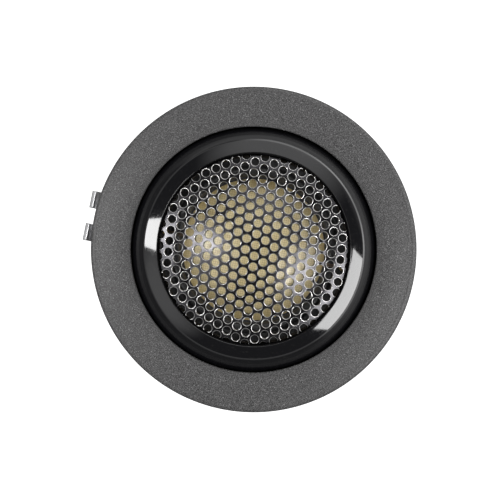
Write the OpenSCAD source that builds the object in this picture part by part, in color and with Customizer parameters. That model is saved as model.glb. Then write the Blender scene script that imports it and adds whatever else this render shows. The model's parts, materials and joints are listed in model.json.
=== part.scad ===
// Flush-mount car tweeter: a ball-shaped dome tweeter that swivels in a trim ring.
// Millimetres. +Z is the listening axis. Z = 0 is the plane where the trim ring meets the panel.

/* [Trim ring] */
// Outside diameter of the trim ring
trim_d = 60; // [59.5:0.1:61]
// Height of the trim ring at its opening
trim_h = 3.0; // [2.8:0.1:3.2]
// Height of the trim ring near its rim
rim_h = 2.0; // [1.8:0.1:2.2]
// Diameter of the opening that shows the ball
opening_d = 45.2; // [45:0.1:45.4]
// Outside diameter of the barrel behind the ring
barrel_d = 54; // [54:0.1:54.2]
// Depth of the barrel behind the panel plane
barrel_depth = 14; // [14:0.1:14.4]

/* [Ball] */
// Diameter of the ball
ball_d = 47; // [46.9:0.05:47]
// Radial clearance between the ball and its socket
ball_gap = 0.25; // [0.2:0.05:0.3]
// Slope of the glossy face of the bezel at its outer edge, in degrees
face_slope = 26; // [24:1:28]
// Diameter of the opening that frames the grille
grille_opening_d = 35.5; // [35.3:0.1:35.6]

/* [Grille] */
// Diameter of one hole
hole_d = 1.5; // [1.3:0.1:1.6]
// Distance between neighbouring holes
hole_pitch = 2.02; // [1.9:0.01:2.2]
// Turn of the hole pattern, in degrees
pattern_turn = 35.3; // [0:0.1:60]
// Thickness of the grille sheet
sheet_t = 0.6; // [0.5:0.05:0.6]

/* [Driver] */
// Diameter of the voice coil former
coil_d = 26; // [25.9:0.05:26.1]
// Height of the dome
dome_h = 4.7; // [4.4:0.1:4.8]

/* [Spring clip] */
// Width of the clip
clip_w = 9.3; // [9:0.1:9.6]
// Width of the gap between its two prongs
fork_gap = 2.9; // [2.6:0.1:3.2]
// Thickness of the spring strip
clip_t = 0.5; // [0.4:0.05:0.5]

/* [Hidden] */
$fn = 96;
small_fn = 32;
overlap = 0.5;    // how far one shape runs into another that it is joined to
cut = 1;          // how far a cutting shape runs past the surface it opens

// Trim ring and socket
trim_r = trim_d / 2;
opening_r = opening_d / 2;
barrel_r = barrel_d / 2;
ball_r = ball_d / 2;
socket_r = ball_r + ball_gap;
lip_z = trim_h - 1;                                                // where the socket meets the opening
ball_z = lip_z - sqrt(pow(socket_r, 2) - pow(opening_r, 2));       // centre of the ball
bore_r = socket_r + 0.35;
rim_round = 0.9;
opening_round = 0.5;
gasket_in = barrel_r + 0.5;
gasket_out = trim_r - 0.6;
gasket_t = 0.8;

// Ring and retainer behind the ball
ring_top = ball_z - 2.5;
ring_bottom = ball_z - 6.8;
ring_gap = 0.05;                                                   // running gap of the friction ring
retainer_r = barrel_r - 0.2;
retainer_t = 2;
retainer_screw_r = (bore_r + barrel_r) / 2;                        // radius of the screw circle

// Bezel outline: sphere, rounded shoulder, crease, slightly convex face, crest
shoulder_tilt = 70;                                                // where the shoulder leaves the ball
shoulder_r = 7.3;
shoulder_at = ball_r - 0.05 - shoulder_r;
shoulder_c = [0, ball_z] + shoulder_at * [sin(shoulder_tilt), cos(shoulder_tilt)];
crease_tilt = 42;                                                  // where the shoulder meets the face
crease = shoulder_c + shoulder_r * [sin(crease_tilt), cos(crease_tilt)];
face_r = 16;
face_c = crease - face_r * [sin(face_slope), cos(face_slope)];
grille_opening_r = grille_opening_d / 2;
crest_round = 0.25;
crest_r = grille_opening_r + crest_round;
crest_tilt = asin((crest_r - face_c[0]) / face_r);
crest_z = face_c[1] + face_r * cos(crest_tilt);
split_z = ball_z - 1;                                              // joint of the bezel and the rear shell
shell_r = ball_r - 1.7;                                            // cylindrical room inside the bezel

// Stack inside the bezel, from the front
grille_seat_z = 5.2;
pocket_r = 19.2;
frame_z = 1.0;                                                     // diaphragm frame on motor frame
ledge_z = 1.8;                                                     // ledge that holds the surround
play = 0.05;                                                       // gap of parts that drop into a pocket

// Grille outline: middle dome, valley, rounded band, rim
grille_dome_r = 12.4;
valley_z = 6.7;
apex_z = 10.1;
band_top = [13.9, 7.1];
band_round = 7.4;                                                  // outer side of the band
rim_bend = 0.7;                                                    // tighter bend down to the skirt
rim_tilt = 26;                                                     // where the band turns into the rim
band_c = band_top - [0, band_round];
rim_c = band_c + (band_round - rim_bend) * [sin(rim_tilt), cos(rim_tilt)];
skirt_r = rim_c[0] + rim_bend;                                     // upright skirt between rim and flange
band_hollow = cap_radius(band_top[0] - grille_dome_r, band_top[1] - valley_z);
hollow_tilt = asin((band_top[0] - grille_dome_r) / band_hollow);
grille_sphere = cap_radius(grille_dome_r, apex_z - valley_z);
dome_tilt = asin(grille_dome_r / grille_sphere);
hole_at = [0.14, 0.88];                                            // middle of one hole

// Driver
coil_r = coil_d / 2;
former_t = 0.15;
coil_rest_z = ledge_z + 0.2;                                       // top of the former
winding_t = 0.4;
plate_r = coil_r - 0.55;
cap_t = 0.15;
plate_z = -1.2;
plate_t = 2;
magnet_t = 4;
yoke_r = 15.5;
gap_r = coil_r + winding_t + 0.35;                                 // inner wall of the yoke
yoke_top = -0.8;
yoke_floor_t = 2.5;
yoke_z = plate_z - plate_t - magnet_t - yoke_floor_t;
vent_r = 2;
roll_r = 1;
cloth_t = 0.2;
roll_c = coil_r + 0.35 + roll_r + cloth_t / 2;                     // middle of the surround's roll
frame_in = roll_c + roll_r + cloth_t / 2 + 0.1;                    // inner wall of the diaphragm frame
pin_at = 16.6;
pin_r = 0.55;
frame_screw_at = 20.3;
shell_screw_at = 17.8;
screw_r = 0.66;
pilot_r = 0.7;

// Rear
rear_z = -17.8;
floor_t = 1.8;
board = [18, 8, 1.2];
blade_t = 0.5;
blade_x = 3;
blade_tip = rear_z - board[2] - 7;
wire_r = 0.5;
wire_bend = 1.5;
wire_z = -14.3;

// Spring clip, drawn as [distance from the axis, z]
pocket_x = barrel_r - 1.7;                                         // floor of the pocket in the barrel
pocket_w = clip_w + 1.2;
bend_r = 0.7;
bend_c = [pocket_x + clip_t / 2 + bend_r, 1.1 - barrel_depth];
leaf_tilt = 27.3;                                                  // lean of the leaf away from the barrel
leaf_len = 9.2;
knee_r = 0.8;
knee_turn = 65;
tip_len = 0.7;
foot_top = -5.2;
rivet_z = -7.2;
rivet_r = 0.75;

// Points on an arc round c, from angle a0 to angle a1
function arc(c, r, a0, a1, steps) =
    [for (i = [0 : steps]) let (a = a0 + (a1 - a0) * i / steps) [c[0] + r * cos(a), c[1] + r * sin(a)]];

// Radius of the sphere that passes through a rim of radius r and an apex h above it
function cap_radius(r, h) = (r * r + h * h) / (2 * h);

module revolve(points) {
    rotate_extrude() polygon(points);
}

module ring(outer, inner, low, high) {
    translate([0, 0, low]) difference() {
        cylinder(r = outer, h = high - low);
        translate([0, 0, -cut]) cylinder(r = inner, h = high - low + 2 * cut);
    }
}

module disc(r, low, high) {
    translate([0, 0, low]) cylinder(r = r, h = high - low);
}

module ball(r) {
    translate([0, 0, ball_z]) sphere(r = r);
}

module around(angles, radius) {
    for (a = angles) rotate([0, 0, a]) translate([radius, 0, 0]) children();
}

// Pan-head screw, upright under z = seat, with its shank going up
module screw(head_r, head_h, shank_r, seat, top) {
    translate([0, 0, seat - head_h]) difference() {
        union() {
            cylinder(r = head_r, h = head_h, $fn = small_fn);
            cylinder(r = shank_r, h = head_h + top - seat, $fn = small_fn);
        }
        for (a = [0, 90]) rotate([0, 0, a]) translate([-head_r * 0.6, -0.15, -cut])
            cube([head_r * 1.2, 0.3, cut + head_h * 0.55]);
    }
}

retainer_angles = [45, 135, 225, 315];
frame_angles = [90, 210, 330];
shell_angles = [30, 150, 270];
lug_angles = [-38, 38];
lug_span = 16;

// ---- Parts that stay with the panel ----

// Flange front: a slow curve from the opening to the rim
flange_steps = 8;
flange_in = opening_r + opening_round;
flange_out = trim_r - rim_round;
flange_front = [for (i = [0 : flange_steps]) let (s = i / flange_steps)
    [flange_out + (flange_in - flange_out) * s, rim_h + (trim_h - rim_h) * sin(90 * s)]];

module trim_outline() {
    edge_chamfer = 0.3;
    barrel_chamfer = 0.5;
    revolve(concat(
        [[opening_r, -barrel_depth], [barrel_r - barrel_chamfer, -barrel_depth]],
        [[barrel_r, -barrel_depth + barrel_chamfer], [barrel_r, 0]],
        [[trim_r - edge_chamfer, 0], [trim_r, edge_chamfer]],
        arc([flange_out, rim_h - rim_round], rim_round, 0, 84, 8),
        flange_front,
        arc([flange_in, trim_h - opening_round], opening_round, 96, 180, 6)
    ));
}

// Fixed catch that hooks behind the panel
module lug() {
    rotate([0, 0, -lug_span / 2]) rotate_extrude(angle = lug_span)
        polygon([[barrel_r - overlap, -3.4], [28.8, -3.4], [28.8, -4.6], [barrel_r - overlap, -7.8]]);
}

module clip_pocket() {
    translate([-barrel_r - cut, -pocket_w / 2, -barrel_depth - cut])
        cube([barrel_r + cut - pocket_x, pocket_w, barrel_depth + cut - 0.8]);
}

module trim_ring() {
    color("#4b4b4e") difference() {
        union() {
            trim_outline();
            for (a = lug_angles) rotate([0, 0, a]) lug();
        }
        ball(socket_r);
        disc(bore_r, -barrel_depth - cut, ball_z - 0.5);
        ring(gasket_out, gasket_in, -cut, gasket_t);
        clip_pocket();
        translate([-barrel_r, 0, rivet_z]) rotate([0, 90, 0])
            cylinder(r = rivet_r + play, h = barrel_r - 20, $fn = small_fn);
        around(retainer_angles, retainer_screw_r)
            translate([0, 0, -barrel_depth - cut]) cylinder(r = pilot_r, h = 5.4 + cut, $fn = small_fn);
    }
}

module panel_gasket() {
    color("#1c1c1c") ring(gasket_out, gasket_in, 0, gasket_t);
}

module friction_ring() {
    color("#2a2a2c") difference() {
        disc(bore_r - 0.1, ring_bottom, ring_top);
        ball(ball_r + ring_gap);
    }
}

module retainer() {
    hold_r = 20.5;
    back_z = -barrel_depth - retainer_t;
    collar_top = ring_bottom - ring_gap;
    color("#232325") difference() {
        revolve([[hold_r, back_z], [retainer_r - 0.4, back_z], [retainer_r, back_z + 0.4],
                 [retainer_r, -barrel_depth], [bore_r - 0.1, -barrel_depth],
                 [bore_r - 0.1, collar_top], [hold_r, collar_top]]);
        ball(socket_r + 0.05);
        around(retainer_angles, retainer_screw_r)
            translate([0, 0, back_z - cut]) cylinder(r = 0.85, h = retainer_t + 2 * cut, $fn = small_fn);
    }
}

module retainer_screws() {
    back_z = -barrel_depth - retainer_t;
    color("#b9b9bd") around(retainer_angles, retainer_screw_r) screw(1.2, 0.9, screw_r, back_z, -9);
}

// Turns a profile of [distance from the axis, z] into a strip across the clip, on the -X side
module clip_strip(points, width) {
    translate([0, width / 2, 0]) rotate([90, 0, 0]) mirror([1, 0, 0])
        linear_extrude(height = width) polygon(points);
}

// Foot of the clip: flat against the barrel, then the bend that turns it back towards the panel
module clip_foot() {
    inner = bend_r - clip_t / 2;
    outer = bend_r + clip_t / 2;
    color("#c9cbd0") difference() {
        clip_strip(concat(
            [[pocket_x + clip_t, foot_top], [pocket_x, foot_top]],
            arc(bend_c, outer, 180, 360 - leaf_tilt, 14),
            arc(bend_c, inner, 360 - leaf_tilt, 180, 14)
        ), clip_w);
        translate([-barrel_r, 0, rivet_z]) rotate([0, 90, 0])
            cylinder(r = rivet_r + play, h = 3, $fn = small_fn);
    }
}

module clip_rivet() {
    face_x = pocket_x + clip_t;
    color("#d2d2d4") translate([-face_x, 0, rivet_z]) rotate([0, 90, 0]) {
        cylinder(r = rivet_r, h = face_x - bore_r - 0.05, $fn = small_fn);
        translate([0, 0, -0.3]) cylinder(r = 1.5, h = 0.3, $fn = small_fn);
        translate([0, 0, -0.55]) cylinder(r1 = 1.1, r2 = 1.5, h = 0.25, $fn = small_fn);
    }
}

// Leaf of the clip: leans out, turns in at the knee, and is split into two prongs
leaf_dir = [sin(leaf_tilt), cos(leaf_tilt)];
leaf_in = [-cos(leaf_tilt), sin(leaf_tilt)];
leaf_root = bend_c + bend_r * [cos(leaf_tilt), -sin(leaf_tilt)];
knee_c = leaf_root + leaf_len * leaf_dir + knee_r * leaf_in;
tip_dir = [sin(leaf_tilt - knee_turn), cos(leaf_tilt - knee_turn)];
tip_out = [cos(leaf_tilt - knee_turn), -sin(leaf_tilt - knee_turn)];
tip_start = knee_c + knee_r * tip_out;
tip_end = tip_start + tip_len * tip_dir;

module clip_leaf() {
    half = clip_t / 2;
    knee_from = -leaf_tilt;
    knee_to = knee_turn - leaf_tilt;
    color("#d5d7dc") difference() {
        clip_strip(concat(
            [leaf_root - half * leaf_in],
            arc(knee_c, knee_r + half, knee_from, knee_to, 12),
            [tip_end + half * tip_out, tip_end - half * tip_out],
            arc(knee_c, knee_r - half, knee_to, knee_from, 12),
            [leaf_root + half * leaf_in]
        ), clip_w);
        translate([-35, -fork_gap / 2, -9.6]) cube([12, fork_gap, 12]);
    }
}

// ---- Ball: housing ----

module bezel() {
    shoulder_start = shoulder_tilt - 2;
    color("#141416") difference() {
        intersection() {
            ball(ball_r);
            revolve(concat(
                [[grille_opening_r - 2, split_z], [ball_r + cut, split_z]],
                [[ball_r + cut, shoulder_c[1] + shoulder_r * cos(shoulder_start)]],
                arc(shoulder_c, shoulder_r, 90 - shoulder_start, 90 - crease_tilt, 10),
                arc(face_c, face_r, 90 - face_slope, 90 - crest_tilt, 4),
                arc([crest_r, crest_z - crest_round], crest_round, 90, 180, 6),
                [[grille_opening_r, grille_seat_z], [grille_opening_r - 2, grille_seat_z]]
            ));
        }
        disc(shell_r, split_z - cut, frame_z);
        disc(pocket_r, split_z, grille_seat_z);
        around(frame_angles, frame_screw_at)
            translate([0, 0, frame_z - cut]) cylinder(r = pilot_r, h = 2 + cut, $fn = small_fn);
    }
}

// Perforated sheet: flat flange, skirt, rim, rounded band, valley and middle dome
grille_back_z = grille_seat_z - sheet_t;
band_steps = 4;

// Front of the sheet from its rim to its apex, moved inwards by t
function grille_front(t) = concat(
    arc(rim_c, rim_bend - t, 0, 90 - rim_tilt, band_steps),
    arc(band_c, band_round - t, 90 - rim_tilt, 90, band_steps),
    arc(band_top - [0, band_hollow], band_hollow - t, 90, 90 + hollow_tilt, band_steps),
    arc([0, apex_z - grille_sphere], grille_sphere - t, 90 - dome_tilt, 90, 2 * band_steps)
);

module hole_pattern() {
    rows = ceil(skirt_r / (hole_pitch * sin(60)));
    limit = skirt_r - hole_d / 2 - 0.25;
    for (j = [-rows : rows], i = [-rows : rows]) {
        p = hole_at + hole_pitch * ((i + j / 2) * [cos(pattern_turn), sin(pattern_turn)]
            + j * sin(60) * [-sin(pattern_turn), cos(pattern_turn)]);
        if (norm(p) < limit) translate([p[0], p[1], grille_back_z - cut])
            cylinder(d = hole_d, h = apex_z, $fn = 16);
    }
}

module grille() {
    flange_r = pocket_r - play;
    color("#8b8b90") difference() {
        revolve(concat(
            [[0, grille_back_z], [flange_r, grille_back_z]],
            [[flange_r, grille_seat_z], [skirt_r, grille_seat_z]],
            grille_front(0)
        ));
        revolve(concat(
            [[0, grille_back_z - cut], [skirt_r - sheet_t, grille_back_z - cut]],
            grille_front(sheet_t)
        ));
        hole_pattern();
    }
}

module rear_shell() {
    edge_round = 1.2;
    edge_r = sqrt(pow(ball_r, 2) - pow(rear_z - ball_z, 2)) - 0.4;
    tongue_h = 1.6;
    color("#1b1b1d") difference() {
        union() {
            difference() {
                intersection() {
                    ball(ball_r);
                    revolve(concat(
                        [[0, rear_z]],
                        arc([edge_r - edge_round, rear_z + edge_round], edge_round, 270, 320, 6),
                        [[ball_r + cut, rear_z + 5], [ball_r + cut, split_z], [0, split_z]]
                    ));
                }
                intersection() {
                    ball(ball_r - 1.5);
                    disc(ball_r, rear_z + floor_t, split_z + cut);
                }
            }
            ring(shell_r - 0.05, shell_r - 0.7, split_z - 0.2, split_z + tongue_h);
            ring(shell_r + 0.5, shell_r - 0.7, split_z - 1.4, split_z);
            around(shell_angles, shell_screw_at) disc(1.7, rear_z + floor_t - overlap, -2.05);
        }
        around(shell_angles, shell_screw_at) {
            disc(0.85, rear_z - cut, 0);
            disc(1.65, rear_z - cut, rear_z + 1.6);
        }
        blade_slot(5.4);
        mirror([1, 0, 0]) blade_slot(3.4);
        around([0, 180], 7.3) disc(pilot_r, rear_z - cut, rear_z + 1.3);
    }
}

module blade_slot(width) {
    translate([blade_x - 0.5, -width / 2, rear_z - board[2] - cut])
        cube([1, width, board[2] + floor_t + 2 * cut]);
}

module shell_screws() {
    color("#b9b9bd") around(shell_angles, shell_screw_at) screw(1.5, 1.2, screw_r, rear_z + 1.6, 0.2);
}

// ---- Ball: motor ----

module motor_frame() {
    low = -2;
    color("#2b2b2e") difference() {
        disc(shell_r - 0.1, low, frame_z);
        disc(yoke_r + play, low - cut, yoke_top);
        disc(gap_r + 0.3, low, frame_z + cut);
        around(frame_angles, frame_screw_at) disc(0.8, low - cut, frame_z + cut);
        around(shell_angles, shell_screw_at) disc(pilot_r, low - cut, 0.4);
        around([0, 180], pin_at) disc(pin_r + play, low - cut, frame_z + cut);
    }
}

module frame_screws() {
    color("#b9b9bd") around(frame_angles, frame_screw_at) screw(1.2, 0.9, screw_r, -2, 2.8);
}

module yoke() {
    color("#a7a9ad") difference() {
        disc(yoke_r, yoke_z, yoke_top);
        disc(gap_r, yoke_z + yoke_floor_t, yoke_top + cut);
        disc(vent_r, yoke_z - cut, yoke_z + yoke_floor_t + cut);
    }
}

module magnet() {
    color("#c4c6c9") ring(plate_r - 0.6, vent_r, plate_z - plate_t - magnet_t, plate_z - plate_t);
}

module top_plate() {
    color("#9b9da1") ring(plate_r, vent_r, plate_z - plate_t, plate_z);
}

module copper_cap() {
    color("#b87333") {
        ring(plate_r + cap_t, plate_r, plate_z - plate_t, plate_z + cap_t);
        ring(plate_r + cap_t / 2, vent_r, plate_z, plate_z + cap_t);
    }
}

module damping_pad() {
    color("#5c5a56") disc(9.5, plate_z + cap_t, 1.2);
}

module chamber_wool() {
    color("#d9d4c8") disc(14, -12.6, yoke_z - play);
}

// ---- Ball: diaphragm ----

module diaphragm_frame() {
    top = grille_seat_z - sheet_t;
    color("#1a1a1c") difference() {
        revolve([[frame_in, frame_z], [pocket_r - play, frame_z], [pocket_r - play, top],
                 [17.7, top], [17.3, ledge_z + 0.5], [17.3, ledge_z], [frame_in, ledge_z]]);
        around([0, 180], pin_at) disc(pin_r + play, frame_z - cut, ledge_z + cut);
    }
}

module surround() {
    rim_out = 16;
    color("#111111") revolve(concat(
        [[coil_r, ledge_z], [roll_c - roll_r + cloth_t / 2, ledge_z]],
        arc([roll_c, ledge_z], roll_r - cloth_t / 2, 180, 0, 14),
        [[rim_out, ledge_z], [rim_out, ledge_z + cloth_t]],
        [[roll_c + sqrt(pow(roll_r + cloth_t / 2, 2) - pow(cloth_t, 2)), ledge_z + cloth_t]],
        arc([roll_c, ledge_z], roll_r + cloth_t / 2, 14, 166, 14),
        [[roll_c - sqrt(pow(roll_r + cloth_t / 2, 2) - pow(cloth_t, 2)), ledge_z + cloth_t]],
        [[coil_r, ledge_z + cloth_t]]
    ));
}

// Flat braid through points of [distance from the axis, z], as thick as t and as wide as w
module braid(points, t, w) {
    count = len(points);
    translate([0, w / 2, 0]) rotate([90, 0, 0]) linear_extrude(height = w) polygon(concat(
        [for (i = [0 : count - 1]) points[i] + [0, t / 2]],
        [for (i = [1 : count]) points[count - i] - [0, t / 2]]
    ));
}

module tinsel_leads() {
    lead_t = 0.25;
    low = ledge_z + cloth_t + lead_t / 2 + 0.03;
    over = ledge_z + roll_r + cloth_t / 2 + lead_t / 2 + 0.1;
    color("#c98f4e") for (a = [0, 180]) rotate([0, 0, a]) braid([
        [coil_r + 0.03, low], [coil_r + 0.2, low], [roll_c - roll_r, over - 0.3], [roll_c - 0.55, over],
        [roll_c + 0.55, over], [roll_c + 1.45, low + 0.1], [pin_at - pin_r, low + 0.1]
    ], lead_t, 0.7);
}

module lead_pins() {
    color("#cdb36a") around([0, 180], pin_at) disc(pin_r, -3, ledge_z + 0.7);
}

// ---- Ball: terminals and wires ----

module terminal_board() {
    color("#3a2c22") difference() {
        translate([-board[0] / 2, -board[1] / 2, rear_z - board[2]]) cube(board);
        blade_slot(5.0);
        mirror([1, 0, 0]) blade_slot(3.0);
        around([0, 180], 7.3) disc(0.85, rear_z - board[2] - cut, rear_z + cut);
    }
}

module board_screws() {
    color("#b9b9bd") around([0, 180], 7.3) screw(1.3, 0.8, screw_r, rear_z - board[2], rear_z + 1.2);
}

module blade_part(thick, width, low, high) {
    translate([blade_x - thick / 2, -width / 2, low]) cube([thick, width, high - low]);
}

// Push-on terminal: blade, shoulder on the board, and solder tail
module blade(width) {
    out_z = rear_z - board[2];
    tip_step = 0.8;
    color("#d8cfa6") difference() {
        union() {
            blade_part(blade_t, width, blade_tip + tip_step, rear_z + 1);
            blade_part(blade_t, width - 1.2, blade_tip, rear_z + 4.4);
            blade_part(1.6, width + 1.2, out_z - 0.7, out_z);
        }
        translate([blade_x - cut, 0, blade_tip + 3]) rotate([0, 90, 0])
            cylinder(r = 0.6, h = 2 * cut, $fn = small_fn);
    }
}

module terminal_plus() {
    blade(4.8);
}

module terminal_minus() {
    mirror([1, 0, 0]) blade(2.8);
}

// Hook-up wire from a lead pin down beside the yoke and across to a solder tail
module hookup_wire() {
    across_from = blade_x + blade_t / 2;
    translate([pin_at, 0, 0]) disc(wire_r, wire_z + wire_bend, -3);
    translate([pin_at - wire_bend, 0, wire_z + wire_bend]) rotate([90, 0, 0])
        rotate([0, 0, -90]) rotate_extrude(angle = 90) translate([wire_bend, 0])
            circle(r = wire_r, $fn = small_fn);
    translate([across_from, 0, wire_z]) rotate([0, 90, 0])
        cylinder(r = wire_r, h = pin_at - wire_bend - across_from, $fn = small_fn);
}

module wire_plus() {
    color("#a3161a") hookup_wire();
}

module wire_minus() {
    color("#202020") mirror([1, 0, 0]) hookup_wire();
}

// ---- Moving assembly ----

module dome() {
    t = 0.25;
    big = cap_radius(coil_r, dome_h);
    centre_z = coil_rest_z + dome_h - big;
    color("#cdbb86") intersection() {
        difference() {
            translate([0, 0, centre_z]) sphere(r = big);
            translate([0, 0, centre_z]) sphere(r = big - t);
        }
        disc(coil_r + cut, coil_rest_z, coil_rest_z + dome_h + cut);
    }
}

module voice_coil_former() {
    color("#b9a26a") ring(coil_r, coil_r - former_t, -3.9, coil_rest_z);
}

module voice_coil_winding() {
    color("#b4612c") ring(coil_r + winding_t, coil_r, -3.7, -0.9);
}

trim_ring();
panel_gasket();
retainer();
retainer_screws();
clip_foot();
clip_rivet();
clip_leaf();
friction_ring();
bezel();
grille();
diaphragm_frame();
surround();
tinsel_leads();
lead_pins();
motor_frame();
frame_screws();
yoke();
magnet();
top_plate();
copper_cap();
damping_pad();
chamber_wool();
rear_shell();
shell_screws();
terminal_board();
board_screws();
terminal_plus();
terminal_minus();
wire_plus();
wire_minus();
dome();
voice_coil_former();
voice_coil_winding();
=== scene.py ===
import json
from math import acos, asin, cos, degrees, pi, radians, sin, sqrt, tan

import bmesh
import bpy
import numpy as np
from mathutils import Matrix, Vector

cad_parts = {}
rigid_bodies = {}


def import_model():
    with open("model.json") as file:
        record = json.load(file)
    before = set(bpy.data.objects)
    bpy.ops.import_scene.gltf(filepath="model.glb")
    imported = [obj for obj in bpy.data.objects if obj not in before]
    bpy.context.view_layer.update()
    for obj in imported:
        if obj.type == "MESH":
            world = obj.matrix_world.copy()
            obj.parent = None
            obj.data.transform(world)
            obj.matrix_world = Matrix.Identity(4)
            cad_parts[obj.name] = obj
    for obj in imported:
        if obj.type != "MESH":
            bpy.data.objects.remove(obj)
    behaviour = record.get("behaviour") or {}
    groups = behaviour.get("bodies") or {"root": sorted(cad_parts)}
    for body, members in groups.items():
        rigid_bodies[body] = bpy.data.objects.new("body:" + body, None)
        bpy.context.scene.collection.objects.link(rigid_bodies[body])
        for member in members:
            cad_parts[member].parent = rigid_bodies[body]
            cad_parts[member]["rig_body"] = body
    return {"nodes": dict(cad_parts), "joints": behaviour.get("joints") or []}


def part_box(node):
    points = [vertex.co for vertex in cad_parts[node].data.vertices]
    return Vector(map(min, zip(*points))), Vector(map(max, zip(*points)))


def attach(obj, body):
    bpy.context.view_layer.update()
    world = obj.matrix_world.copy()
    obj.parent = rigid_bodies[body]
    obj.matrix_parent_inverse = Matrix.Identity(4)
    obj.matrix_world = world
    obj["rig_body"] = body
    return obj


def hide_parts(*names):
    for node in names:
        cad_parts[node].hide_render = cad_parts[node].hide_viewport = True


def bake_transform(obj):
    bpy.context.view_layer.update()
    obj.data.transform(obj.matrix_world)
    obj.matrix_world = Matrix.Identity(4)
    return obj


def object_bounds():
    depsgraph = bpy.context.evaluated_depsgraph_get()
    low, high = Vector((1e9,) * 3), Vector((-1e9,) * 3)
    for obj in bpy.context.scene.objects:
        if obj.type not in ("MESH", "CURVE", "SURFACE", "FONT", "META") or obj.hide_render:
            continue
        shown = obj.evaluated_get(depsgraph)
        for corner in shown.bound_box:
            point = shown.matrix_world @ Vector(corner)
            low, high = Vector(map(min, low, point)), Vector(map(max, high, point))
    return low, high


# Looks of a flush-mount car tweeter, built round its CAD frame.
# Shapes are drawn in millimetres, and piece() turns them into metres.

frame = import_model()
cad_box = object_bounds()
scene = bpy.context.scene

MM = 0.001
SEGMENTS = 192
JOINTS = {joint["name"]: joint for joint in frame["joints"]}


def measure(cad_node):
    """Outer radius, lowest z and highest z of a CAD node, in millimetres."""
    low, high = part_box(cad_node)
    return max(high.x, high.y) / MM, low.z / MM, high.z / MM


TRIM_R, BARREL_END, TRIM_H = measure("trim_ring")
BALL_R, SPLIT_Z, BEZEL_TOP = measure("bezel")
GRILLE_FLANGE_R, GRILLE_BACK, GRILLE_APEX = measure("grille")
COIL_R, DOME_BASE, DOME_APEX = measure("dome")
BALL_Z = JOINTS["aim_tilt"]["pos_m"][2] / MM
CLIP_PIVOT = Vector(JOINTS["clip_flex"]["pos_m"]) / MM

# ---- Camera, lights and floor ----

CAMERA_ROLL = 11.7
CAMERA_HEIGHT = 1.0
RING_SHARE = 0.651  # of the picture's width
VIEW_WIDTH = 2 * TRIM_R * MM / RING_SHARE
CENTRE_SHIFT = 0.0075  # of the picture's width, to the right

# Patches of the room: azimuth, angle off the axis, core and edge, all in degrees, and radiance
GLOWS = (
    (76, 48, 8, 36, 1.5),
    (205, 44, 4, 25, 1.3),
    (-18, 88, 12, 42, 2.3),
    (22, 88, 12, 42, 2.6),
    (62, 88, 10, 40, 2.4),
)
OVERHEAD = 0.1
BELT = 0.9
HORIZON = 0.35
BACKDROP = 0.9  # what the camera itself sees
FLOOR_HALF = 3000
FLOOR_SHEEN = (-0.04, 0.12)  # in the gloss, from the dark side to the lit one
FLOOR_FILL = 0.35
FLOOR_SEEN = 1.3


def across(azimuth):
    """Unit vector in the ring's plane, at an angle from the picture's right."""
    turn = radians(azimuth + CAMERA_ROLL)
    return Vector((cos(turn), sin(turn), 0))


def make_camera():
    """A long lens straight above the grille, turned as the photo is."""
    data = bpy.data.cameras.new("camera")
    data.lens = data.sensor_width * CAMERA_HEIGHT / VIEW_WIDTH
    data.clip_start, data.clip_end = 0.05, 20
    camera = bpy.data.objects.new("camera", data)
    camera.location = Vector((0, 0, CAMERA_HEIGHT)) - VIEW_WIDTH * CENTRE_SHIFT * across(0)
    camera.rotation_euler = (0, 0, radians(CAMERA_ROLL))
    scene.collection.objects.link(camera)
    scene.camera = camera


def softbox(name, azimuth, off_axis, width, height, radiance, distance=0.6, matte_only=False):
    """A flat lamp aimed at the tweeter. Its width, round the axis, and its height are in degrees."""
    tilt = radians(off_axis)
    towards = across(azimuth) * sin(tilt) + Vector((0, 0, cos(tilt)))
    data = bpy.data.lights.new(name, "AREA")
    data.shape = "RECTANGLE"
    data.size = 2 * distance * tan(radians(width) / 2)
    data.size_y = 2 * distance * tan(radians(height) / 2)
    data.energy = radiance * pi * data.size * data.size_y
    lamp = bpy.data.objects.new(name, data)
    side = Vector((0, 0, 1)).cross(towards).normalized()
    upward = towards.cross(side)
    turn = Matrix((side, upward, towards)).transposed()
    lamp.matrix_world = Matrix.Translation(towards * distance) @ turn.to_4x4()
    lamp.visible_camera = False
    lamp.visible_glossy = not matte_only
    scene.collection.objects.link(lamp)


def glow(tree, direction, azimuth, off_axis, core, edge):
    """A soft patch of the room: 1 within core degrees of its middle, 0 beyond edge degrees."""
    tilt = radians(off_axis)
    middle = across(azimuth) * sin(tilt) + Vector((0, 0, cos(tilt)))
    inputs = {
        "Value": dot_product(tree, direction, middle),
        "From Min": cos(radians(edge)),
        "From Max": cos(radians(core)),
    }
    return node(tree, "MapRange", inputs, interpolation_type="SMOOTHSTEP").outputs[0]


def make_world():
    """A dim room: dark overhead, a pale belt lower down and soft patches that the gloss picks up."""
    world = bpy.data.worlds.new("studio")
    scene.world = world
    world.use_nodes = True
    tree = world.node_tree
    direction = node(tree, "TexCoord").outputs["Generated"]
    height = node(tree, "SeparateXYZ", {0: direction}).outputs["Z"]
    overhead = spread(tree, height, BELT, OVERHEAD, 0.42, 0.6)
    horizon = spread(tree, height, HORIZON - BELT, 0.0, 0.0, 0.12)
    level = calculate(tree, "ADD", overhead, horizon)
    for azimuth, off_axis, core, edge, radiance in GLOWS:
        patch = glow(tree, direction, azimuth, off_axis, core, edge)
        level = calculate(tree, "ADD", level, calculate(tree, "MULTIPLY", patch, radiance))
    seen = node(tree, "LightPath").outputs["Is Camera Ray"]
    tree.links.new(choose(tree, seen, level, BACKDROP), tree.nodes["Background"].inputs["Color"])


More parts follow.
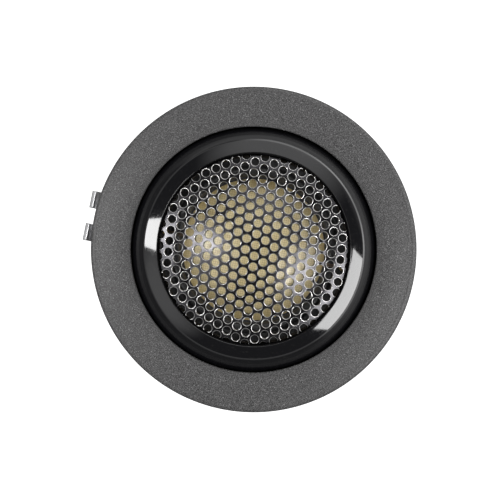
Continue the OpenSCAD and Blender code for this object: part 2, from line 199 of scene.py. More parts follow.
def make_studio():
    """A soft lamp on each side, a fill that only matte surfaces show, and the room."""
    scene.view_settings.view_transform = "Standard"
    softbox("softbox_right", azimuth=-26, off_axis=46, width=34, height=19, radiance=14)
    softbox("softbox_left", azimuth=171, off_axis=46, width=12, height=34, radiance=21)
    softbox("fill_left", azimuth=195, off_axis=40, width=40, height=40, radiance=3.2,
            distance=0.16, matte_only=True)
    make_world()


def make_floor():
    """A pale sheet just under the terminals, clear from below so that the back can be looked at."""
    form = bmesh.new()
    floor_z = cad_box[0].z / MM - 1
    corners = rectangle(-FLOOR_HALF, FLOOR_HALF, -FLOOR_HALF, FLOOR_HALF)
    form.faces.new([form.verts.new((x, y, floor_z)) for x, y in corners])
    finish, tree, shader = new_material("floor_paper", (0.02, 0.02, 0.02), 0.9)
    ray = node(tree, "LightPath").outputs
    sheen = spread(tree, dot_product(tree, place(tree), across(40)), 0.01, 0.6, *FLOOR_SHEEN)
    unseen = choose(tree, ray["Is Diffuse Ray"], sheen, FLOOR_FILL)
    shown = choose(tree, ray["Is Camera Ray"], unseen, FLOOR_SEEN)
    shader.inputs["Emission Color"].default_value = (1, 1, 1, 1)
    tree.links.new(shown, shader.inputs["Emission Strength"])
    clear = node(tree, "BsdfTransparent").outputs[0]
    behind = node(tree, "NewGeometry").outputs["Backfacing"]
    both = node(tree, "MixShader", {0: behind, 1: shader.outputs[0], 2: clear})
    tree.links.new(both.outputs[0], tree.nodes["Material Output"].inputs["Surface"])
    new_object("floor", form, finish)


# ---- Material tools ----


def node(tree, kind, inputs=None, **settings):
    """A shader node. Inputs are plain values or the sockets that feed them."""
    made = tree.nodes.new("ShaderNode" + kind)
    for name, value in settings.items():
        setattr(made, name, value)
    for name, value in (inputs or {}).items():
        if isinstance(value, bpy.types.NodeSocket):
            tree.links.new(value, made.inputs[name])
        else:
            made.inputs[name].default_value = value
    return made


def calculate(tree, operation, *values):
    """A Math node's result."""
    return node(tree, "Math", dict(enumerate(values)), operation=operation).outputs[0]


def choose(tree, share, first, second):
    """A number between two, where share 0 gives the first and 1 the second."""
    return node(tree, "Mix", {0: share, 2: first, 3: second}, data_type="FLOAT").outputs[0]


def dot_product(tree, first, second):
    """How far two directions agree: 1 when they are the same."""
    made = node(tree, "VectorMath", {0: first, 1: second}, operation="DOT_PRODUCT")
    return made.outputs["Value"]


def mix_colour(tree, share, first, second):
    """A colour between two, each a socket or three numbers."""
    made = node(tree, "Mix", {0: share}, data_type="RGBA")
    for index, value in ((6, first), (7, second)):
        if isinstance(value, bpy.types.NodeSocket):
            tree.links.new(value, made.inputs[index])
        else:
            made.inputs[index].default_value = (*value, 1)
    return made.outputs[2]


def new_material(name, colour, roughness, metallic=0.0, more=None):
    """A material, its node tree and its main shader. More holds other inputs that are the same all over."""
    made = bpy.data.materials.new(name)
    made.use_nodes = True
    shader = made.node_tree.nodes["Principled BSDF"]
    plain = {"Base Color": (*colour, 1), "Roughness": roughness, "Metallic": metallic, **(more or {})}
    for key, value in plain.items():
        shader.inputs[key].default_value = value
    return made, made.node_tree, shader


def paint(tree, shader, colour, roughness):
    """Feeds a colour and a roughness that vary over the surface."""
    tree.links.new(colour, shader.inputs["Base Color"])
    tree.links.new(roughness, shader.inputs["Roughness"])


def place(tree, stretch=(1, 1, 1)):
    """The point on the piece, in metres, stretched along each axis."""
    point = node(tree, "TexCoord").outputs["Object"]
    return node(tree, "Mapping", {"Vector": point, "Scale": stretch}).outputs[0]


def noise(tree, size, detail=3, stretch=(1, 1, 1)):
    """Noise from 0 to 1 with features of that size in millimetres."""
    inputs = {"Vector": place(tree, stretch), "Scale": 1 / (size * MM), "Detail": detail}
    return node(tree, "TexNoise", inputs).outputs["Fac"]


def from_axis(tree):
    """Distance of the shaded point from the tweeter's axis, in metres."""
    flat = place(tree, stretch=(1, 1, 0))
    return node(tree, "VectorMath", {0: flat}, operation="LENGTH").outputs["Value"]


def above_panel(tree):
    """Height of the shaded point above the panel, in metres."""
    return node(tree, "SeparateXYZ", {0: place(tree)}).outputs["Z"]


def spread(tree, value, low, high, start=0.3, stop=0.7):
    """Carries start..stop to low..high, and stops there."""
    inputs = {"Value": value, "From Min": start, "From Max": stop, "To Min": low, "To Max": high}
    return node(tree, "MapRange", inputs).outputs[0]


def bands(tree, direction, period, kind="BANDS", stretch=(1, 1, 1)):
    """Waves from 0 to 1 with a period in millimetres."""
    inputs = {"Vector": place(tree, stretch), "Scale": pi / 10 / (period * MM)}
    settings = {"wave_type": kind, "bands_direction": direction}
    if kind == "RINGS":
        settings = {"wave_type": kind, "rings_direction": direction}
    return node(tree, "TexWave", inputs, **settings).outputs["Fac"]


def raise_surface(tree, shader, height, depth):
    """Bumps the surface by height times depth, in millimetres."""
    inputs = {"Height": height, "Distance": depth * MM, "Strength": 1.0}
    bump = node(tree, "Bump", inputs).outputs[0]
    tree.links.new(bump, shader.inputs["Normal"])


def weave(tree, pitch):
    """Height of a plain weave: threads along X and Y that pass over each other in turn."""
    flat = (1, 1, 0)
    along_x = bands(tree, "Y", pitch, stretch=flat)
    along_y = bands(tree, "X", pitch, stretch=flat)
    inputs = {"Vector": place(tree, flat), "Scale": 1 / (pitch * MM)}
    turn = node(tree, "TexChecker", inputs).outputs["Fac"]
    over = calculate(tree, "MULTIPLY", along_x, turn)
    under = calculate(tree, "MULTIPLY", along_y, calculate(tree, "SUBTRACT", 1.0, turn))
    return calculate(tree, "ADD", over, under)


def moulded(name, colour, roughness, grain=0.3, depth=0.02, speckle=0.25):
    """Moulded plastic with an even spark-eroded grain."""
    made, tree, shader = new_material(name, colour, roughness)
    fine = noise(tree, grain, detail=4)
    cloudy = noise(tree, 9.0, detail=2)
    dark = [c * (1 - speckle) for c in colour]
    light = [c * (1 + speckle) for c in colour]
    speckled = mix_colour(tree, spread(tree, fine, 0, 1, 0.35, 0.65), dark, light)
    shade = mix_colour(tree, spread(tree, cloudy, 0, 0.12), speckled, dark)
    paint(tree, shader, shade, spread(tree, fine, roughness - 0.06, roughness + 0.08))
    raise_surface(tree, shader, fine, depth)
    return made


def metal(name, colour, roughness, lines=None, line_depth=0.002, stain=0.2):
    """Bare or plated metal. Lines is the stretch of its brushed scratches along X, Y and Z."""
    made, tree, shader = new_material(name, colour, roughness, metallic=1.0)
    patch = noise(tree, 2.5, detail=3)
    scratch = noise(tree, 0.12, detail=2, stretch=lines or (1, 1, 1))
    tarnished = [c * (1 - stain) for c in colour]
    shade = mix_colour(tree, spread(tree, patch, 0, 1), colour, tarnished)
    paint(tree, shader, shade, spread(tree, scratch, roughness * 0.75, roughness * 1.3))
    raise_surface(tree, shader, scratch, line_depth)
    return made


def turned(name, colour, roughness, pitch=0.12):
    """Metal faced on a lathe: fine rings round Z."""
    made, tree, shader = new_material(name, colour, roughness, metallic=1.0)
    rings = bands(tree, "Z", pitch, kind="RINGS")
    uneven = noise(tree, 1.2)
    height = calculate(tree, "MULTIPLY", rings, spread(tree, uneven, 0.4, 1.0))
    darker = [c * 0.8 for c in colour]
    shade = mix_colour(tree, spread(tree, uneven, 0, 1), colour, darker)
    paint(tree, shader, shade, spread(tree, rings, roughness * 0.8, roughness * 1.25))
    raise_surface(tree, shader, height, 0.004)
    return made


def fibrous(name, colour, size, depth, sheen=0.4):
    """Felt, wool or foam: matte and uneven."""
    more = {"Sheen Weight": sheen, "Sheen Roughness": 0.6}
    made, tree, shader = new_material(name, colour, 0.95, more=more)
    fluff = noise(tree, size, detail=6)
    dark = [c * 0.55 for c in colour]
    shade = mix_colour(tree, spread(tree, fluff, 0, 1), dark, colour)
    tree.links.new(shade, shader.inputs["Base Color"])
    raise_surface(tree, shader, fluff, depth)
    return made


# ---- Materials ----

OPENING_SHADE_R = (24.0 * MM, 24.3 * MM)  # where the painted shade inside the ring's opening fades out, from the axis
OPENING_SHADE_TOP = (2.55 * MM, 2.7 * MM)  # and above the panel
EDGE_HIGHLIGHT_R = (8.5 * MM, 11.5 * MM)  # where the painted highlight on the grille's hole edges turns to its brightest


def trim_plastic():
    """Dark grey plastic with a fine metallic-looking speckle, and painted shade that turns the wall inside
    the opening black.
    """
    more = {"Specular IOR Level": 0.3}
    made, tree, shader = new_material("trim_plastic", (0.045, 0.045, 0.046), 0.5, more=more)
    fine = noise(tree, 0.2, detail=2)
    grit = noise(tree, 0.15, detail=1)
    cloudy = noise(tree, 6.0, detail=2)
    speckle = spread(tree, fine, 0, 1, 0.38, 0.62)
    shade = mix_colour(tree, speckle, (0.014, 0.0137, 0.0138), (0.045, 0.0443, 0.0448))
    glint = spread(tree, grit, 0, 0.6, 0.6, 0.72)
    shade = mix_colour(tree, glint, shade, (0.2, 0.198, 0.2))
    shade = mix_colour(tree, spread(tree, cloudy, 0, 0.1), shade, (0.03, 0.029, 0.029))
    # Painted shade: the wall inside the opening is darkened to near black.
    inside = spread(tree, from_axis(tree), 1.0, 0.0, *OPENING_SHADE_R)
    under_edge = spread(tree, above_panel(tree), 1.0, 0.0, *OPENING_SHADE_TOP)
    painted_wall_shade = calculate(tree, "MULTIPLY", inside, under_edge)
    shade = mix_colour(tree, painted_wall_shade, shade, (0.003, 0.003, 0.003))
    rough = calculate(tree, "ADD", spread(tree, fine, 0.42, 0.56), calculate(tree, "MULTIPLY", painted_wall_shade, 0.3))
    paint(tree, shader, shade, rough)
    raise_surface(tree, shader, fine, 0.03)
    return made


def gloss_black():
    """Piano black plastic, a little uneven as moulded parts are."""
    made, tree, shader = new_material("gloss_black", (0.003, 0.003, 0.0035), 0.05)
    dust = noise(tree, 0.5, detail=5)
    sink = noise(tree, 14.0, detail=1)
    dusty = spread(tree, dust, 0, 0.35, 0.6, 0.8)
    shade = mix_colour(tree, dusty, (0.0025, 0.0025, 0.003), (0.025, 0.024, 0.023))
    paint(tree, shader, shade, spread(tree, dust, 0.035, 0.09))
    raise_surface(tree, shader, sink, 0.02)
    return made


def grille_nickel():
    """Black nickel on the punched sheet."""
    made, tree, shader = new_material("grille_nickel", (0.055, 0.054, 0.056), 0.27, metallic=1.0)
    smear = noise(tree, 1.6, detail=4)
    fine = noise(tree, 0.15, detail=2)
    shade = mix_colour(tree, spread(tree, smear, 0, 1), (0.05, 0.049, 0.052), (0.036, 0.035, 0.038))
    paint(tree, shader, shade, spread(tree, smear, 0.23, 0.31))
    raise_surface(tree, shader, fine, 0.002)
    return made


def grille_edge_highlight():
    """Paler nickel on the edges that the punch rounded round the holes: a painted highlight, brightest on
    the outer band.
    """
    made, tree, shader = new_material("grille_edge_highlight", (0.27, 0.265, 0.26), 0.3, metallic=1.0)
    highlight_mottle = noise(tree, 0.9, detail=3)
    shade = mix_colour(tree, spread(tree, highlight_mottle, 0, 1), (0.12, 0.118, 0.116), (0.4, 0.395, 0.39))
    # Painted highlight: the hole edges grow paler towards the outer band.
    painted_highlight = spread(tree, from_axis(tree), 0.0, 0.5, *EDGE_HIGHLIGHT_R)
    shade = mix_colour(tree, painted_highlight, shade, (0.7, 0.69, 0.68))
    paint(tree, shader, shade, spread(tree, highlight_mottle, 0.36, 0.24))
    return made


def silk_cream():
    """Coated woven silk, with painted shade that makes it browner and darker towards its foot, under the
    grille's band.
    """
    more = {"Sheen Weight": 0.3, "Coat Weight": 1.0, "Coat Roughness": 0.34, "Coat IOR": 1.7}
    made, tree, shader = new_material("silk_cream", (0.8, 0.68, 0.38), 0.42, more=more)
    threads = weave(tree, 0.4)
    blotch = noise(tree, 2.2, detail=4)
    shade = mix_colour(tree, threads, (0.42, 0.31, 0.11), (0.78, 0.66, 0.34))
    shade = mix_colour(tree, spread(tree, blotch, 0, 0.3), shade, (0.85, 0.76, 0.5))
    # Painted shade: darker towards the foot of the dome, where the grille's band shades it.
    foot = spread(tree, above_panel(tree), 0.75, 0.0, DOME_BASE * MM, (DOME_BASE + 2.2) * MM)
    shade = mix_colour(tree, foot, shade, (0.26, 0.18, 0.05))
    paint(tree, shader, shade, spread(tree, threads, 0.5, 0.36, 0, 1))
    raise_surface(tree, shader, threads, 0.03)
    return made


def surround_rubber():
    """Black doped cloth with a wet-looking coat."""
    more = {"Coat Weight": 1.0, "Coat Roughness": 0.16}
    made, tree, shader = new_material("surround_rubber", (0.02, 0.02, 0.02), 0.35, more=more)
    threads = weave(tree, 0.3)
    shade = mix_colour(tree, threads, (0.012, 0.012, 0.012), (0.03, 0.03, 0.031))
    paint(tree, shader, shade, spread(tree, threads, 0.45, 0.28, 0, 1))
    raise_surface(tree, shader, threads, 0.015)
    return made


def spring_steel():
    """Bright strip steel, brushed along its length."""
    return metal("spring_steel", (0.78, 0.78, 0.79), 0.48, lines=(0.12, 1, 0.12), line_depth=0.0008)


def board_fibre():
    """Brown phenolic laminate with fibres in it."""
    made, tree, shader = new_material("board_fibre", (0.1, 0.055, 0.03), 0.4)
    fibres = noise(tree, 0.25, detail=4, stretch=(0.2, 1, 1))
    shade = mix_colour(tree, spread(tree, fibres, 0, 1), (0.07, 0.036, 0.02), (0.15, 0.085, 0.045))
    paint(tree, shader, shade, spread(tree, fibres, 0.32, 0.5))
    raise_surface(tree, shader, fibres, 0.01)
    return made


def insulation(name, colour):
    """Soft PVC on a wire."""
    made, tree, shader = new_material(name, colour, 0.35)
    mottle = noise(tree, 1.0, detail=3)
    dark = [c * 0.7 for c in colour]
    shade = mix_colour(tree, spread(tree, mottle, 0, 1), dark, colour)
    paint(tree, shader, shade, spread(tree, mottle, 0.28, 0.45))
    raise_surface(tree, shader, mottle, 0.01)
    return made


def former_film():
    """Amber polyimide film."""
    made, tree, shader = new_material("former_film", (0.5, 0.24, 0.04), 0.25)
    wrap = bands(tree, "Z", 0.5)
    shade = mix_colour(tree, wrap, (0.42, 0.19, 0.03), (0.58, 0.3, 0.06))
    paint(tree, shader, shade, spread(tree, wrap, 0.2, 0.32, 0, 1))
    return made


def make_materials():
    """The finish of each slot."""
    return {
        "trim_plastic": trim_plastic(),
        "gloss_black": gloss_black(),
        "black_plastic": moulded("black_plastic", (0.022, 0.022, 0.023), 0.45),
        "friction_nylon": moulded("friction_nylon", (0.035, 0.035, 0.037), 0.35, grain=0.6, depth=0.01),
        "grille_nickel": grille_nickel(),
        "foam_black": fibrous("foam_black", (0.02, 0.02, 0.02), 0.35, 0.12, sheen=0.1),
        "zinc_screw": metal("zinc_screw", (0.66, 0.67, 0.7), 0.3),
        "spring_steel": spring_steel(),
        "rivet_alloy": metal("rivet_alloy", (0.7, 0.7, 0.71), 0.38),
        "surround_rubber": surround_rubber(),
        "silk_cream": silk_cream(),
        "tinsel_copper": metal("tinsel_copper", (0.22, 0.17, 0.13), 0.4),
        "pin_brass": metal("pin_brass", (0.8, 0.62, 0.3), 0.25),
        "yoke_steel": turned("yoke_steel", (0.55, 0.55, 0.56), 0.35),
        "magnet_nickel": metal("magnet_nickel", (0.62, 0.61, 0.58), 0.2),
        "copper_sheet": turned("copper_sheet", (0.82, 0.42, 0.26), 0.3),
        "felt_grey": fibrous("felt_grey", (0.2, 0.19, 0.18), 0.5, 0.25),
        "wool_cream": fibrous("wool_cream", (0.72, 0.68, 0.58), 0.8, 0.5),
        "board_fibre": board_fibre(),
        "tin_plate": metal("tin_plate", (0.76, 0.74, 0.66), 0.3, lines=(1, 1, 0.15)),
        "wire_red": insulation("wire_red", (0.42, 0.01, 0.012)),
        "wire_black": insulation("wire_black", (0.02, 0.02, 0.02)),
        "former_film": former_film(),
        "winding_enamel": metal("winding_enamel", (0.6, 0.24, 0.09), 0.25),
    }


# ---- Shape tools, in millimetres ----


def arc(centre, radius, start, stop, steps):
    """Points on an arc from one angle to another, in degrees."""
    turns = np.radians(np.linspace(start, stop, steps + 1))
    return [(centre[0] + radius * cos(a), centre[1] + radius * sin(a)) for a in turns]


def rectangle(left, right, low, high, *radius):
    """Corners of a rectangle, with the rounding of each if one is given."""
    return [(x, y, *radius) for x, y in ((left, low), (right, low), (right, high), (left, high))]


def rounded(corners, steps=4):
    """An outline of (x, y, radius) corners, each rounded to its radius."""
    outline = []
    for i, (x, y, radius) in enumerate(corners):
        corner = Vector((x, y))
        if radius == 0:
            outline.append((x, y))
            continue
        back = (Vector(corners[i - 1][:2]) - corner).normalized()
        ahead = (Vector(corners[(i + 1) % len(corners)][:2]) - corner).normalized()
        half = back.angle(ahead) / 2
        centre = corner + (back + ahead).normalized() * radius / sin(half)
        first = (corner + back * radius / tan(half) - centre).normalized()
        last = (corner + ahead * radius / tan(half) - centre).normalized()
        outline += [tuple(centre + radius * first.slerp(last, s / steps)) for s in range(steps + 1)]
    return outline


def tidy(form):
    """Joins points that meet and turns every face outwards."""
    bmesh.ops.remove_doubles(form, verts=form.verts, dist=1e-4)
    bmesh.ops.dissolve_degenerate(form, edges=form.edges, dist=1e-5)
    bmesh.ops.delete(form, geom=[e for e in form.edges if not e.link_faces], context="EDGES")
    bmesh.ops.recalc_face_normals(form, faces=form.faces)
    return form


def skin(form, rings, looped=False):
    """Faces from each ring of points to the next. The end rings are closed, or looped to each other."""
    following = rings[1:] + rings[:1] if looped else rings[1:]
    for here, there in zip(rings, following):
        for i in range(len(here)):
            form.faces.new((here[i - 1], there[i - 1], there[i], here[i]))
    if not looped:
        form.faces.new(rings[0])
        form.faces.new(rings[-1])
    return tidy(form)


def lathe(outline, segments=SEGMENTS, start=0.0, span=360.0):
    """A closed outline of (radius, z) points turned about Z."""
    form = bmesh.new()
    full = span == 360.0
    turns = np.radians(start + span * np.arange(segments + (0 if full else 1)) / segments)
    rings = [[form.verts.new((r * cos(a), r * sin(a), z)) for r, z in outline] for a in turns]
    return skin(form, rings, looped=full)


def peg(radius, low, high, segments=32):
    """A round cutter or core."""
    return lathe([(0, low), (radius, low), (radius, high), (0, high)], segments)


def frustum(low_z, low_half, high_z, high_half):
    """A block whose lower and upper faces have their own half widths along X and Y."""
    form = bmesh.new()
    rings = []
    for z, (x_half, y_half) in ((low_z, low_half), (high_z, high_half)):
        rings.append([form.verts.new((x, y, z)) for x, y in rectangle(-x_half, x_half, -y_half, y_half)])
    return skin(form, rings)


def slab(outline, low, high, bevel=0.0):
    """A flat outline in X and Y raised from low to high, with bevelled edges."""
    form = bmesh.new()
    skin(form, [[form.verts.new((x, y, z)) for x, y in outline] for z in (low, high)])
    if bevel:
        rims = [e for e in form.edges if abs(e.verts[0].co.z - e.verts[1].co.z) < 1e-6]
        bmesh.ops.bevel(form, geom=rims, offset=bevel, segments=3, profile=0.5, affect="EDGES")
    return form


def tube(centres, radius, sides=8):
    """A round strand along a list of points."""
    form = bmesh.new()
    turns = [2 * pi * k / sides for k in range(sides)]
    rings = []
    for i, centre in enumerate(centres):
        ahead = Vector(centres[min(i + 1, len(centres) - 1)] - centres[max(i - 1, 0)]).normalized()
        side = ahead.cross(Vector((0, 0, 1))).normalized()
        up = side.cross(ahead)
        ring = [Vector(centre) + radius * (cos(a) * side + sin(a) * up) for a in turns]
        rings.append([form.verts.new(point) for point in ring])
    return skin(form, rings)


def moved(form, matrix):
    """The form carried by a matrix."""
    bmesh.ops.transform(form, matrix=matrix, verts=form.verts)
    return form


def placed(form, x=0.0, y=0.0, z=0.0, turn=0.0):
    """The form turned about Z by an angle in degrees and then shifted."""
    return moved(form, Matrix.Translation((x, y, z)) @ Matrix.Rotation(radians(turn), 4, "Z"))


def upright(form):
    """Stands a slab drawn in X and Y up in Y and Z, its thickness along X."""
    return moved(form, Matrix(((0, 0, 1, 0), (1, 0, 0, 0), (0, 1, 0, 0), (0, 0, 0, 1))))


def lying(form):
    """Lays a form that stands along Z down along X."""
    return moved(form, Matrix.Rotation(radians(90), 4, "Y"))


def joined(forms):
    """Several forms as one."""
    whole = bmesh.new()
    for form in forms:
        part = bpy.data.meshes.new("part")
        form.to_mesh(part)
        form.free()
        whole.from_mesh(part)
        bpy.data.meshes.remove(part)
    return whole


def around(form, angles, radius):
    """Copies of the form at that radius, one at each angle."""
    forms = [placed(form.copy(), x=radius) for _ in angles]
    form.free()
    return joined([placed(copy, turn=angle) for copy, angle in zip(forms, angles)])


def combined(form, others, operation="DIFFERENCE"):
    """The form with the others cut from it, or added to it by the operation UNION."""
    stand_ins = []
    for each in [form, *others]:
        mesh = bpy.data.meshes.new("stand_in")
        each.to_mesh(mesh)
        each.free()
        stand_ins.append(bpy.data.objects.new("stand_in", mesh))
        scene.collection.objects.link(stand_ins[-1])
    base = stand_ins[0]
    for other in stand_ins[1:]:
        step = base.modifiers.new("step", "BOOLEAN")
        step.object, step.operation, step.solver = other, operation, "EXACT"
    result = bmesh.new()
    result.from_object(base, bpy.context.evaluated_depsgraph_get())
    for each in stand_ins:
        bpy.data.meshes.remove(each.data)
    return result


def new_object(name, form, finish, crisp=35.0):
    """An object in metres from a form in millimetres. Edges sharper than crisp, in degrees, stay sharp."""
    moved(form, Matrix.Scale(MM, 4))
    mesh = bpy.data.meshes.new(name)
    form.to_mesh(mesh)
    form.free()
    mesh.shade_smooth()
    mesh.set_sharp_from_angle(angle=radians(crisp))
    mesh.materials.append(finish)
    made = bpy.data.objects.new(name, mesh)
    scene.collection.objects.link(made)
    return made


def piece(name, form, slot, nodes, crisp=35.0, ride=True):
    """A piece that stands for CAD nodes, rides on their body and takes its finish from a slot."""
    made = new_object(name, form, MATERIALS[slot], crisp)
    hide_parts(*nodes)
    if ride:
        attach(made, frame["nodes"][nodes[0]]["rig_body"])
    return made


# ---- Pieces that stay with the panel ----

OPENING_R = 22.6
OPENING_ROUND = 0.3
RIM_H = 2.0
SOCKET_R = BALL_R + 0.25
BARREL_R = 27.0
BORE_R = SOCKET_R + 0.35
GASKET = measure("panel_gasket")
GASKET_IN = BARREL_R + 0.5
POCKET_X = BARREL_R - 1.7
POCKET_HALF = 5.25
POCKET_TOP = -0.8
RIVET_Z = -7.2
RIVET_HOLE_R = 0.8
PILOT_R = 0.7
RETAINER_SCREW_R = (BORE_R + BARREL_R) / 2
RETAINER_ANGLES = (45, 135, 225, 315)
LUG_ANGLES = (-38, 38)
LUG_SPAN = 16
LUG_R = 28.8
LUG_TOP = -3.4
LUG_FOOT = -7.8


def flange_front():
    """The slow curve of the flange from its rim to the opening."""
    rim_at, opening_at = TRIM_R - 0.9, OPENING_R + OPENING_ROUND
    rise = TRIM_H - RIM_H
    shares = [i / 24 for i in range(25)]
    return [(rim_at + (opening_at - rim_at) * s, RIM_H + rise * sin(pi / 2 * s)) for s in shares]


def make_trim_ring():
    """Flange, barrel and ball socket in one turned outline, with catches, clip pocket and holes."""
    socket_foot = degrees(asin(0.5 / SOCKET_R))
    socket_top = degrees(acos(OPENING_R / SOCKET_R))
    bore_top = BALL_Z - 0.5
    outline = rounded([
        (BORE_R, bore_top, 0), (BORE_R, BARREL_END, 0.3), (BARREL_R, BARREL_END, 0.5), (BARREL_R, 0, 0),
    ])
    outline += [(GASKET_IN, 0), (GASKET_IN, GASKET[2]), (GASKET[0], GASKET[2]), (GASKET[0], 0)]
    outline += [(TRIM_R - 0.3, 0), *arc((TRIM_R - 0.3, 0.3), 0.3, -60, 0, 3)]
    outline += arc((TRIM_R - 0.9, RIM_H - 0.9), 0.9, 0, 84, 14)
    outline += flange_front()
    outline += arc((OPENING_R + OPENING_ROUND, TRIM_H - OPENING_ROUND), OPENING_ROUND, 92, 180, 10)
    outline += arc((0, BALL_Z), SOCKET_R, socket_top, -socket_foot, 16)
    ring = lathe(outline, 256)
    root, tip = BARREL_R - 0.5, (LUG_R, LUG_TOP, 0.2)
    hook = rounded([(root, LUG_TOP, 0), tip, (LUG_R, LUG_TOP - 1.2, 0.2), (root, LUG_FOOT, 0)])
    lugs = [lathe(hook, 12, angle - LUG_SPAN / 2, LUG_SPAN) for angle in LUG_ANGLES]
    ring = combined(ring, lugs, "UNION")
    pocket = slab(rectangle(-BARREL_R - 1, -POCKET_X, -POCKET_HALF, POCKET_HALF), BARREL_END - 1, POCKET_TOP)
    rivet_hole = placed(lying(peg(RIVET_HOLE_R, -BARREL_R, -BORE_R + 2)), z=RIVET_Z)
    pilots = around(peg(PILOT_R, BARREL_END - 1, BARREL_END + 5.4), RETAINER_ANGLES, RETAINER_SCREW_R)
    ring = combined(ring, [pocket, rivet_hole, pilots])
    piece("trim_ring_moulding", ring, "trim_plastic", ["trim_ring"], crisp=30)


def make_gasket():
    """Foam ring in the groove of the flange."""
    outer, low, high = GASKET
    outline = rounded([(GASKET_IN, low, 0.2), (outer, low, 0.2), (outer, high, 0.1), (GASKET_IN, high, 0.1)])
    piece("foam_gasket", lathe(outline), "foam_black", ["panel_gasket"])


def screw_thread(core_r, crest_r, start, stop, pitch=0.5, per_turn=16):
    """A ridge that winds up the shank and runs out at both ends."""
    form = bmesh.new()
    count = int((stop - start) / pitch * per_turn)
    sections = []
    for i in range(count + 1):
        turn = 2 * pi * i / per_turn
        z = start + pitch * i / per_turn
        taper = min(1.0, i / 8, (count - i) / 8)
        crest = core_r + (crest_r - core_r) * taper
        points = ((core_r - 0.08, z - 0.15), (crest, z), (core_r - 0.08, z + 0.15))
        sections.append([form.verts.new((r * cos(turn), r * sin(turn), h)) for r, h in points])
    return skin(form, sections)


def pan_screw(head_r, head_h, length, shank_r=0.66):
    """A cross-recessed screw: its head hangs below z = 0 and its threaded shank goes up."""
    core_r = shank_r * 0.8
    outline = [(0, -head_h), (head_r * 0.45, -head_h), (head_r * 0.8, -head_h + 0.1)]
    outline += arc((head_r - 0.3, -head_h + 0.35), 0.3, -20, 0, 3)
    outline += [(head_r, -0.08), (head_r - 0.08, 0), (core_r, 0)]
    outline += [(core_r, length - core_r), (0.1, length), (0, length)]
    wide, narrow = (head_r * 0.58, head_r * 0.15), (head_r * 0.22, head_r * 0.1)
    arms = [placed(frustum(-head_h - 0.1, wide, -head_h * 0.35, narrow), turn=turn) for turn in (45, 135)]
    body = combined(lathe(outline, 32), arms)
    return joined([body, screw_thread(core_r, shank_r, 0.4, length - core_r)])


def make_screws(name, cad_node, head_r, head_h, angles, radius):
    """A set of equal screws on a circle, as high as their CAD node."""
    low, high = measure(cad_node)[1:]
    screw = placed(pan_screw(head_r, head_h, high - low - head_h), z=low + head_h)
    piece(name, around(screw, angles, radius), "zinc_screw", [cad_node], crisp=40)


# ---- Spring clip ----

CLIP_T = 0.5
CLIP_W = 9.3
FORK_GAP = 2.9
FORK_ROOT_Z = -9.6
FOOT_TOP = -5.2
BEND_R = 0.7
LEAF_TILT = radians(27.3)
LEAF_LEN = 9.2
KNEE_R = 0.8
KNEE_TURN = radians(65)
TIP_LEN = 0.7


def clip_path():
    """The clip's middle line as stretches of (length, turn), from the top of its foot to its tip."""
    foot = (FOOT_TOP - CLIP_PIVOT.z, 0.0)
    bend_turn = pi - LEAF_TILT
    bend, knee = (BEND_R * bend_turn, bend_turn), (KNEE_R * KNEE_TURN, KNEE_TURN)
    return [foot, bend, (LEAF_LEN, 0.0), knee, (TIP_LEN, 0.0)]


def heading_at(angle):
    """Unit vectors along an angle and to its left."""
    return Vector((cos(angle), sin(angle))), Vector((-sin(angle), cos(angle)))


def clip_frame(run):
    """Place at a distance along the clip and the direction across its thickness there."""
    at, heading = Vector((-CLIP_PIVOT.x - BEND_R, FOOT_TOP)), -pi / 2
    for length, turn in clip_path():
        part = min(max(run, 0.0), length)
        ahead, left = heading_at(heading)
        if turn:
            radius = length / turn
            heading += turn * part / length
            at = at + radius * (left - heading_at(heading)[1])
        else:
            at = at + part * ahead
        run -= length
        if run <= 0:
            break
    return at, heading_at(heading)[1]


def make_clip():
    """One strip of spring steel, drawn flat and then bent along its path."""
    total = sum(length for length, turn in clip_path())
    leaf_at = clip_path()[0][0] + clip_path()[1][0]
    fork_at = leaf_at + (FORK_ROOT_Z - CLIP_PIVOT.z + BEND_R * sin(LEAF_TILT)) / cos(LEAF_TILT)
    wide, gap = CLIP_W / 2, FORK_GAP / 2
    flat = slab(rounded([
        (0, -wide, 0.8), (total, -wide, 0.5), (total, -gap, 0.5), (fork_at, -gap, 1.2),
        (fork_at, gap, 1.2), (total, gap, 0.5), (total, wide, 0.5), (0, wide, 0.8),
    ]), -CLIP_T / 2, CLIP_T / 2, bevel=0.09)
    flat = combined(flat, [placed(peg(RIVET_HOLE_R, -1, 1), x=FOOT_TOP - RIVET_Z)])
    stations = 90
    for i in range(1, stations):
        geometry = flat.verts[:] + flat.edges[:] + flat.faces[:]
        cut = (total * i / stations, 0, 0)
        bmesh.ops.bisect_plane(flat, geom=geometry, plane_co=cut, plane_no=(1, 0, 0))
    for vertex in flat.verts:
        run, across_clip, height = vertex.co
        at, normal = clip_frame(run)
        at = at + height * normal
        vertex.co = (-at.x, across_clip, at.y)
    bmesh.ops.reverse_faces(flat, faces=flat.faces)  # the minus sign above mirrors the strip
    clip = piece("spring_clip", flat, "spring_steel", ["clip_foot", "clip_leaf"], crisp=30, ride=False)
    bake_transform(clip)


def make_rivet():
    """Rivet with a domed head outside the foot and a plain end inside the barrel."""
    inner_end, face, top = -BORE_R - 0.05, -POCKET_X - CLIP_T, -POCKET_X - CLIP_T - 0.55
    outline = rounded([
        (0, inner_end, 0), (0.75, inner_end, 0.1), (0.75, face, 0),
        (1.5, face, 0.05), (1.5, face - 0.3, 0.15), (1.0, top, 0.3), (0, top, 0),
    ])
    piece("round_head_rivet", placed(lying(lathe(outline, 48)), z=RIVET_Z), "rivet_alloy", ["clip_rivet"])


# ---- Ball: bezel and grille ----

